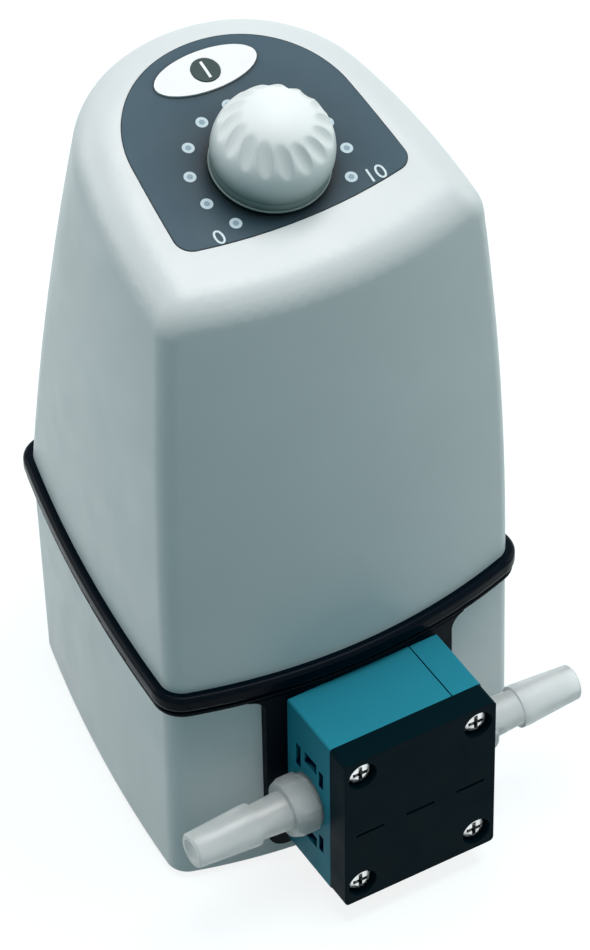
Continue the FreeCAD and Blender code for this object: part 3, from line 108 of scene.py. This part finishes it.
class Tree:
    """Short calls for building one material's node tree."""

    def __init__(self, name):
        self.material = bpy.data.materials.new(name)
        self.material.use_nodes = True
        self.nodes = self.material.node_tree.nodes
        self.links = self.material.node_tree.links
        self.shader = self.nodes["Principled BSDF"]
        self.place = self.nodes.new("ShaderNodeTexCoord").outputs["Object"]

    def join(self, source, target):
        """Links an output to an input."""
        self.links.new(source, target)

    def set(self, **values):
        """Sets the shader's own sockets; an underscore stands for a space."""
        for name, value in values.items():
            self.shader.inputs[name.replace("_", " ")].default_value = value

    def noise(self, scale, detail=3.0, stretch=None):
        """Noise over the object's own coordinates, in features per metre."""
        texture = self.nodes.new("ShaderNodeTexNoise")
        texture.inputs["Scale"].default_value = scale
        texture.inputs["Detail"].default_value = detail
        texture.inputs["Roughness"].default_value = NOISE_ROUGHNESS
        if stretch:
            mapping = self.nodes.new("ShaderNodeMapping")
            mapping.inputs["Scale"].default_value = stretch
            self.join(self.place, mapping.inputs["Vector"])
            self.join(mapping.outputs["Vector"], texture.inputs["Vector"])
        else:
            self.join(self.place, texture.inputs["Vector"])
        return texture.outputs["Fac"]

    def ramp(self, factor, stops):
        """Colour ramp from two pairs of place and colour."""
        ramp = self.nodes.new("ShaderNodeValToRGB")
        for element, (place, colour) in zip(ramp.color_ramp.elements, stops):
            element.position = place
            element.color = (*colour, 1.0)
        self.join(factor, ramp.inputs["Fac"])
        return ramp.outputs["Color"]

    def span(self, factor, low, high, from_low, from_high):
        """Maps a factor from one span of values onto another."""
        span = self.nodes.new("ShaderNodeMapRange")
        span.inputs["From Min"].default_value = from_low
        span.inputs["From Max"].default_value = from_high
        span.inputs["To Min"].default_value = low
        span.inputs["To Max"].default_value = high
        self.join(factor, span.inputs["Value"])
        return span.outputs["Result"]

    def mix(self, factor, low, high):
        """Blends two colours by a factor; each is a colour or an output."""
        mix = self.nodes.new("ShaderNodeMix")
        mix.data_type = "RGBA"
        self.join(factor, mix.inputs["Factor"])
        for name, value in (("A", low), ("B", high)):
            if isinstance(value, tuple):
                mix.inputs[name].default_value = (*value, 1.0)
            else:
                self.join(value, mix.inputs[name])
        return mix.outputs["Result"]

    def openness(self, reach, low, high):
        """0 in sheltered places, 1 on open faces, for shelter within a reach."""
        shelter = self.nodes.new("ShaderNodeAmbientOcclusion")
        shelter.only_local = reach < WIDE_REACH
        shelter.samples = SURFACE_SAMPLES
        shelter.inputs["Distance"].default_value = reach
        return self.span(shelter.outputs["AO"], 0.0, 1.0, low, high)

    def softened(self, radius):
        """Normal of the surface with its edges rounded."""
        bevel = self.nodes.new("ShaderNodeBevel")
        bevel.samples = SURFACE_SAMPLES
        bevel.inputs["Radius"].default_value = radius
        return bevel.outputs["Normal"]

    def edge_share(self, radius):
        """1 along the sharp edges of the piece, 0 elsewhere."""
        flat = self.nodes.new("ShaderNodeNewGeometry").outputs["True Normal"]
        likeness = self.nodes.new("ShaderNodeVectorMath")
        likeness.operation = "DOT_PRODUCT"
        self.join(self.softened(radius), likeness.inputs[0])
        self.join(flat, likeness.inputs[1])
        return self.span(likeness.outputs["Value"], 1.0, 0.0, EDGE_LIKENESS, FACE_LIKENESS)

    def bump(self, height, distance, after=None):
        """Raises the surface by a height texture, on top of another normal if given."""
        bump = self.nodes.new("ShaderNodeBump")
        bump.inputs["Distance"].default_value = distance
        self.join(height, bump.inputs["Height"])
        if after is not None:
            self.join(after, bump.inputs["Normal"])
        self.join(bump.outputs["Normal"], self.shader.inputs["Normal"])


# Finishes

# Features per metre of the slow changes over a surface
DRIFT_SCALE = 22.0
GLOSS_SCALE = 90.0
TARNISH_SCALE = 160.0
BRUSH_SCALE = 700.0

# Part of a noise's range that carries its change
NOISE_LOW = 0.3
NOISE_HIGH = 0.7
TARNISH_LOW = 0.35
TARNISH_HIGH = 0.65

# How far brightness and roughness go from their mean
TARNISH_DARK = 0.9
TARNISH_BRIGHT = 1.05
GLOSS_LOW = 0.85
GLOSS_HIGH = 1.15
BRUSH_LOW = 0.7
BRUSH_HIGH = 1.3
COAT_ROUGHNESS_SHARE = 0.5

# Openness at which the painted shade in metal recesses is full and where it ends
FULL_SHADE_OPENNESS = 0.45
NO_SHADE_OPENNESS = 0.8

NO_STRETCH = (1.0, 1.0, 1.0)
ALONG_STRETCH = (1.0, 1.0, 12.0)

# Painted shade: sheltered places take on a shade colour: how far shelter reaches, and the
# openness where the painted shade is full and where it ends
PaintedShade = namedtuple("PaintedShade", "reach full none colour")

# Line along the edges of a piece
Rim = namedtuple("Rim", "wide colour")

HOUSING_COLOUR = (0.68, 0.70, 0.71)
BLACK_COLOUR = (0.004, 0.007, 0.008)
# painted shade in the recesses of metal parts
RECESS_SHADE_COLOUR = (0.004, 0.005, 0.006)
# painted shade in the block's pockets
POCKET_SHADE_COLOUR = (0.0, 0.010, 0.055)
LABEL_EDGE_COLOUR = (0.010, 0.024, 0.032)
# painted shade on the knob's lower part, where the label shelters it
KNOB_PAINTED_SHADE = (0.10, 0.17, 0.16)
# painted shadow on the label round the knob's foot
LABEL_PAINTED_SHADOW = (0.001, 0.006, 0.009)
MILK_SCATTER = (1.0, 1.0, 1.05)


def shade(colour, factor):
    """A colour made darker or brighter."""
    return tuple(min(1.0, channel * factor) for channel in colour)


def moulded(name, colour, roughness, grain=2600.0, depth=0.01 * MM, drift=0.03, coat=0.0, shine=0.5,
            soft=0.0, painted_shade=None, rim=None):
    """Moulded plastic or rubber: slight drift of colour, fine grain, uneven gloss.

    soft is the radius of the edges' rounding, hollow a Hollow for painted shade in sheltered places, and
    rim a Rim.
    """
    tree = Tree(name)
    tree.set(Specular_IOR_Level=shine)
    tone = tree.ramp(tree.noise(DRIFT_SCALE, detail=2.0),
                     ((NOISE_LOW, shade(colour, 1.0 - drift)), (NOISE_HIGH, shade(colour, 1.0 + drift))))
    # painted shade: sheltered places are blended towards a shade colour
    if painted_shade:
        tone = tree.mix(tree.openness(painted_shade.reach, painted_shade.full, painted_shade.none), painted_shade.colour, tone)
    if rim:
        tone = tree.mix(tree.edge_share(rim.wide), tone, rim.colour)
    tree.join(tone, tree.shader.inputs["Base Color"])
    gloss = tree.span(tree.noise(GLOSS_SCALE), roughness * GLOSS_LOW, roughness * GLOSS_HIGH,
                      NOISE_LOW, NOISE_HIGH)
    tree.join(gloss, tree.shader.inputs["Roughness"])
    tree.bump(tree.noise(grain, detail=2.0), depth, after=tree.softened(soft) if soft else None)
    if coat:
        tree.set(Coat_Weight=coat, Coat_Roughness=roughness * COAT_ROUGHNESS_SHARE)
    return tree


def metal(name, colour, roughness, brushed=NO_STRETCH, depth=0.004 * MM, recess_shade=0.0):
    """Metal with faint tarnish and, if asked, brush lines and painted shade in its recesses within some
    reach.
    """
    tree = Tree(name)
    tree.set(Metallic=1.0)
    tone = tree.ramp(tree.noise(TARNISH_SCALE, detail=4.0),
                     ((TARNISH_LOW, shade(colour, TARNISH_DARK)),
                      (TARNISH_HIGH, shade(colour, TARNISH_BRIGHT))))
    # painted shade: recesses darken and lose their metal shine
    if recess_shade:
        unshaded = tree.openness(recess_shade, FULL_SHADE_OPENNESS, NO_SHADE_OPENNESS)
        tone = tree.mix(unshaded, RECESS_SHADE_COLOUR, tone)
        tree.join(unshaded, tree.shader.inputs["Metallic"])
    tree.join(tone, tree.shader.inputs["Base Color"])
    lines = tree.noise(BRUSH_SCALE, detail=2.0, stretch=brushed)
    gloss = tree.span(lines, roughness * BRUSH_LOW, roughness * BRUSH_HIGH, NOISE_LOW, NOISE_HIGH)
    tree.join(gloss, tree.shader.inputs["Roughness"])
    tree.bump(lines, depth)
    return tree


def translucent(name, colour, roughness):
    """Milky plastic that light goes into."""
    tree = moulded(name, colour, roughness, grain=700.0, depth=0.004 * MM, drift=0.01)
    tree.set(Subsurface_Weight=0.8, Subsurface_Scale=5.0 * MM, Transmission_Weight=0.62)
    tree.set(Subsurface_Radius=MILK_SCATTER)
    return tree


FINISH_TREES = (
    moulded("housing", HOUSING_COLOUR, 0.40, coat=0.05),
    moulded("band", (0.0, 0.004, 0.009), 0.24, depth=0.003 * MM, shine=0.045),
    moulded("collar", (0.0, 0.003, 0.007), 0.40, shine=0.05),
    # painted shadow on the label round the knob's foot
    moulded("label", (0.046, 0.088, 0.118), 0.42, grain=5200.0, shine=0.18,
            rim=Rim(0.7 * MM, LABEL_EDGE_COLOUR),
            painted_shade=PaintedShade(20.0 * MM, 0.54, 0.96, LABEL_PAINTED_SHADOW)),
    # painted shade on the knob's lower part
    moulded("knob", (0.86, 0.87, 0.87), 0.45, depth=0.006 * MM, shine=0.25, soft=2.2 * MM,
            painted_shade=PaintedShade(22.0 * MM, 0.54, 0.97, KNOB_PAINTED_SHADE)),
    moulded("pad", (0.80, 0.80, 0.81), 0.32),
    moulded("button", (0.030, 0.055, 0.055), 0.40, shine=0.2),
    moulded("plate", (0.0, 0.009, 0.014), 0.44, grain=3400.0, depth=0.008 * MM,
            shine=0.025, soft=0.3 * MM),
    # painted shade in the block's pockets
    moulded("block", (0.022, 0.245, 0.335), 0.38, grain=1800.0, depth=0.006 * MM, shine=0.04,
            soft=0.4 * MM, painted_shade=PaintedShade(2.5 * MM, 0.75, 0.96, POCKET_SHADE_COLOUR)),
    translucent("fitting", (0.97, 0.995, 1.0), 0.34),
    # painted shade in the screws' cross recesses
    metal("steel", (0.80, 0.80, 0.80), 0.36, recess_shade=1.4 * MM),
    metal("bearing", (0.60, 0.61, 0.63), 0.14),
    metal("zinc", (0.48, 0.49, 0.50), 0.34, ALONG_STRETCH),
    metal("alloy", (0.52, 0.53, 0.54), 0.50),
    metal("brass", (0.60, 0.45, 0.18), 0.30),
    moulded("rubber", (0.020, 0.020, 0.021), 0.60),
    moulded("black_plastic", BLACK_COLOUR, 0.45),
    moulded("white_plastic", (0.70, 0.70, 0.64), 0.40),
    moulded("laminate", (0.015, 0.12, 0.055), 0.35, grain=900.0),
    moulded("core", (0.045, 0.045, 0.050), 0.40, grain=400.0),
    moulded("sleeve", (0.010, 0.016, 0.045), 0.25),
    moulded("print", (0.60, 0.69, 0.73), 0.45),
    moulded("dot_ring", (0.47, 0.58, 0.63), 0.45),
    moulded("dot_inside", (0.20, 0.30, 0.36), 0.45),
)
MATERIALS = {tree.material.name: tree.material for tree in FINISH_TREES}

FINISHES = {
    "housing": ("upper_housing", "lower_housing"),
    "band": ("seal_band",),
    "collar": ("head_collar",),
    "label": ("control_label",),
    "knob": ("speed_knob", "knob_skirt"),
    "pad": ("button_pad",),
    "button": ("power_button",),
    "plate": ("head_plate",),
    "block": ("head_block",),
    "fitting": ("inlet_fitting", "outlet_fitting", "fitting_rings"),
    "steel": ("head_screws", "housing_screws", "board_screws", "motor_screws"),
    "bearing": ("bearing_inner_race", "bearing_outer_race", "bearing_balls", "motor_shaft"),
    "zinc": ("motor_can", "eccentric", "dial_shaft", "dial_potentiometer"),
    "alloy": ("drive_frame",),
    "brass": ("potentiometer_nut", "inlet_pins"),
    "rubber": ("rubber_feet", "rubber_mounts", "head_seal", "diaphragm", "inlet_valve", "outlet_valve"),
    "black_plastic": ("motor_cap", "frame_cover", "power_switch", "mains_inlet"),
    "white_plastic": ("connecting_rod", "valve_cages"),
    "laminate": ("control_board", "power_board"),
    "core": ("transformer",),
    "sleeve": ("smoothing_capacitor",),
}


def dress_nodes(nodes):
    """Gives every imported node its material."""
    for finish, names in FINISHES.items():
        for name in names:
            slots = nodes[name].data.materials
            slots.clear()
            slots.append(MATERIALS[finish])


def steady_shading(thing):
    """Lets the large faces set the shading where thin slivers meet them."""
    weld = thing.modifiers.new("joined_patches", "WELD")
    weld.merge_threshold = WELD_REACH
    split = thing.modifiers.new("kept_edges", "EDGE_SPLIT")
    split.split_angle = SHARP_TURN
    split.use_edge_sharp = False
    weighting = thing.modifiers.new("steady_shading", "WEIGHTED_NORMAL")
    weighting.mode = "FACE_AREA"
    weighting.keep_sharp = True


# Print on the dial face

def ring_builder(inner, outer, thick, steps=40):
    """Flat ring, or a disc when the inner radius is zero."""
    def build(form):
        rims = []
        for radius, height in ((outer, 0.0), (outer, thick), (inner, thick)):
            if radius == 0.0:
                continue
            rims.append([form.verts.new((radius * math.cos(turn), radius * math.sin(turn), height))
                         for turn in (2 * math.pi * i / steps for i in range(steps))])
        for low, high in zip(rims, rims[1:]):
            for i in range(steps):
                j = (i + 1) % steps
                form.faces.new((low[i], low[j], high[j], high[i]))
        if inner == 0.0:
            form.faces.new(rims[-1])
    return build


def bar_builder(wide, long, thick, edge):
    """Flat bar along the second axis, with its edges bevelled."""
    def build(form):
        bmesh.ops.create_cube(form, size=1.0)
        bmesh.ops.scale(form, vec=(wide, long, thick), verts=form.verts)
        bmesh.ops.translate(form, vec=(0.0, 0.0, thick / 2), verts=form.verts)
        bmesh.ops.bevel(form, geom=form.edges, offset=edge, segments=2, affect="EDGES")
    return build


def dial_dots():
    """Eleven ringed dots round the knob."""
    for i in range(DOT_COUNT):
        turn = DOT_SWEEP * (1 - 2 * i / (DOT_COUNT - 1))
        across = -DOT_CIRCLE * math.sin(turn)
        along = DOT_CIRCLE * math.cos(turn)
        place = dial_matrix(across, along, LABEL_PROUD)
        ring = new_object("dial_dot_%d" % i, ring_builder(DOT_INNER, DOT_OUTER, PRINT_THICK),
                          MATERIALS["dot_ring"], place)
        centre = new_object("dial_dot_centre_%d" % i, ring_builder(0.0, DOT_INNER, DOT_CENTRE_THICK),
                            MATERIALS["dot_inside"], place)
        for piece in (ring, centre):
            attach(piece, "pump")


def dial_number(text, place):
    """Printed number on the dial face."""
    curve = bpy.data.curves.new("number", "FONT")
    curve.body = text
    curve.size = NUMBER_SIZE
    curve.extrude = PRINT_THICK / 2
    curve.align_x = "CENTER"
    curve.align_y = "CENTER"
    drawn = bpy.data.objects.new("number", curve)
    bpy.context.scene.collection.objects.link(drawn)
    bpy.context.view_layer.update()
    mesh = bpy.data.meshes.new_from_object(drawn.evaluated_get(bpy.context.evaluated_depsgraph_get()))
    bpy.data.objects.remove(drawn)
    piece = bpy.data.objects.new("dial_number_" + text, mesh)
    bpy.context.scene.collection.objects.link(piece)
    mesh.materials.clear()
    mesh.materials.append(MATERIALS["print"])
    piece.matrix_world = dial_matrix(*place, LABEL_PROUD + PRINT_THICK / 2)
    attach(piece, "pump")


def button_bar():
    """White bar printed on the button."""
    bar = new_object("button_bar", bar_builder(BAR_WIDE, BAR_LONG, PRINT_THICK, BAR_EDGE),
                     MATERIALS["pad"], dial_matrix(0.0, BUTTON_ALONG, BUTTON_TOP))
    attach(bar, "button")


# Stage, light and camera

FLOOR_HALF = 3.0
FLOOR_DROP = 0.1 * MM
FLOOR_COLOUR = (0.20, 0.27, 0.28)
FLOOR_ROUGHNESS = 0.9

# The floor glows this much near the pump, and fully from the end of the fade on
NEAR_GLOW = 0.85
FADE_START = 0.35
FADE_END = 0.9

AMBIENT = (0.110, 0.222, 0.238, 1.0)
LAMP_TARGET = (0.0, 0.0, 0.12)
Lamp = namedtuple("Lamp", "name place size power colour")
LAMPS = (
    Lamp("key", (0.15, 0.0, 1.5), 1.0, 17.2, (1.0, 0.955, 0.945)),
    Lamp("left", (-1.0, 1.15, 0.6), 0.9, 5.9, (1.0, 1.0, 1.0)),
    Lamp("right", (1.45, -0.30, 0.55), 0.9, 5.4, (0.93, 1.0, 0.97)),
)


def floor_grid(form):
    """One square face."""
    bmesh.ops.create_grid(form, x_segments=1, y_segments=1, size=FLOOR_HALF)


def make_floor():
    """White floor just below the feet."""
    floor = new_object("floor", floor_grid, floor_material(), Matrix.Translation((0.0, 0.0, -FLOOR_DROP)))


def seen_or_reflected(tree):
    """1 for rays from the camera and for reflected or refracted ones, 0 for the rest."""
    rays = tree.nodes.new("ShaderNodeLightPath")
    share = rays.outputs["Is Camera Ray"]
    for kind in ("Is Glossy Ray", "Is Transmission Ray"):
        either = tree.nodes.new("ShaderNodeMath")
        either.operation = "MAXIMUM"
        tree.links.new(share, either.inputs[0])
        tree.links.new(rays.outputs[kind], either.inputs[1])
        share = either.outputs[0]
    return share


def floor_material():
    """Matt floor that is lifted to white where it is seen, and still shows the shadow."""
    material = bpy.data.materials.new("floor")
    material.use_nodes = True
    tree = material.node_tree
    shader = tree.nodes["Principled BSDF"]
    shader.inputs["Base Color"].default_value = (*FLOOR_COLOUR, 1.0)
    shader.inputs["Roughness"].default_value = FLOOR_ROUGHNESS
    shader.inputs["Specular IOR Level"].default_value = 0.0
    glow = tree.nodes.new("ShaderNodeEmission")
    glow.inputs["Color"].default_value = WHITE
    place = tree.nodes.new("ShaderNodeTexCoord")
    distance = tree.nodes.new("ShaderNodeVectorMath")
    distance.operation = "LENGTH"
    tree.links.new(place.outputs["Object"], distance.inputs[0])
    strength = tree.nodes.new("ShaderNodeMapRange")
    strength.inputs["From Min"].default_value = FADE_START
    strength.inputs["From Max"].default_value = FADE_END
    strength.inputs["To Min"].default_value = NEAR_GLOW
    strength.inputs["To Max"].default_value = 1.0
    tree.links.new(distance.outputs["Value"], strength.inputs["Value"])
    share = tree.nodes.new("ShaderNodeMath")
    share.operation = "MULTIPLY"
    tree.links.new(strength.outputs["Result"], share.inputs[1])
    tree.links.new(seen_or_reflected(tree), share.inputs[0])
    tree.links.new(share.outputs[0], glow.inputs["Strength"])
    add = tree.nodes.new("ShaderNodeAddShader")
    tree.links.new(shader.outputs[0], add.inputs[0])
    tree.links.new(glow.outputs[0], add.inputs[1])
    tree.links.new(add.outputs[0], tree.nodes["Material Output"].inputs["Surface"])
    return material


def area_light(lamp):
    """Square soft lamp aimed at the pump."""
    light = bpy.data.lights.new(lamp.name, "AREA")
    light.shape = "SQUARE"
    light.size = lamp.size
    light.energy = lamp.power
    light.color = lamp.colour
    thing = bpy.data.objects.new(lamp.name, light)
    bpy.context.scene.collection.objects.link(thing)
    thing.location = lamp.place
    aim = Vector(LAMP_TARGET) - Vector(lamp.place)
    thing.rotation_mode = "QUATERNION"
    thing.rotation_quaternion = aim.to_track_quat("-Z", "Y")


def make_light():
    """A big soft lamp above, one on each side, and a dim cool world that is seen white."""
    for lamp in LAMPS:
        area_light(lamp)
    world = bpy.data.worlds.new("studio")
    bpy.context.scene.world = world
    world.use_nodes = True
    tree = world.node_tree
    tint = tree.nodes.new("ShaderNodeMix")
    tint.data_type = "RGBA"
    tint.inputs["A"].default_value = AMBIENT
    tint.inputs["B"].default_value = WHITE
    tree.links.new(seen_or_reflected(tree), tint.inputs["Factor"])
    tree.links.new(tint.outputs["Result"], tree.nodes["Background"].inputs["Color"])


def make_camera():
    """Camera as solved from the photograph."""
    sin_a, cos_a = math.sin(CAMERA_AZIMUTH), math.cos(CAMERA_AZIMUTH)
    sin_e, cos_e = math.sin(CAMERA_ELEVATION), math.cos(CAMERA_ELEVATION)
    back = Vector((sin_a * cos_e, -cos_a * cos_e, sin_e))
    right = Vector((cos_a, sin_a, 0.0))
    up = back.cross(right)
    turned_right = math.cos(CAMERA_ROLL) * right - math.sin(CAMERA_ROLL) * up
    turned_up = math.sin(CAMERA_ROLL) * right + math.cos(CAMERA_ROLL) * up
    lens = bpy.data.cameras.new("camera")
    lens.sensor_width = SENSOR
    lens.lens = CAMERA_LENS
    lens.clip_start = CLIP_START
    lens.clip_end = CLIP_END
    camera = bpy.data.objects.new("camera", lens)
    bpy.context.scene.collection.objects.link(camera)
    turn = Matrix((turned_right, turned_up, back)).transposed().to_4x4()
    camera.matrix_world = Matrix.Translation(CAMERA_PLACE) @ turn
    bpy.context.scene.camera = camera


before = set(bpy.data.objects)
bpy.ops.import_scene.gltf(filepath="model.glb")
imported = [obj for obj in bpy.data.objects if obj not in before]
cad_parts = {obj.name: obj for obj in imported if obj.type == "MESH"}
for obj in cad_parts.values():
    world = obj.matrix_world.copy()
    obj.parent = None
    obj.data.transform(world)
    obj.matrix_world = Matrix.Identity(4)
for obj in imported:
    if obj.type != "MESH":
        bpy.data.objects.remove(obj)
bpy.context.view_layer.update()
bpy.context.scene.view_settings.view_transform = "Standard"
make_camera()
dress_nodes(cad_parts)
for name in FINISHES["housing"]:
    steady_shading(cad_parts[name])
dial_dots()
for number, number_place in NUMBER_PLACES.items():
    dial_number(number, number_place)
button_bar()
make_floor()
make_light()
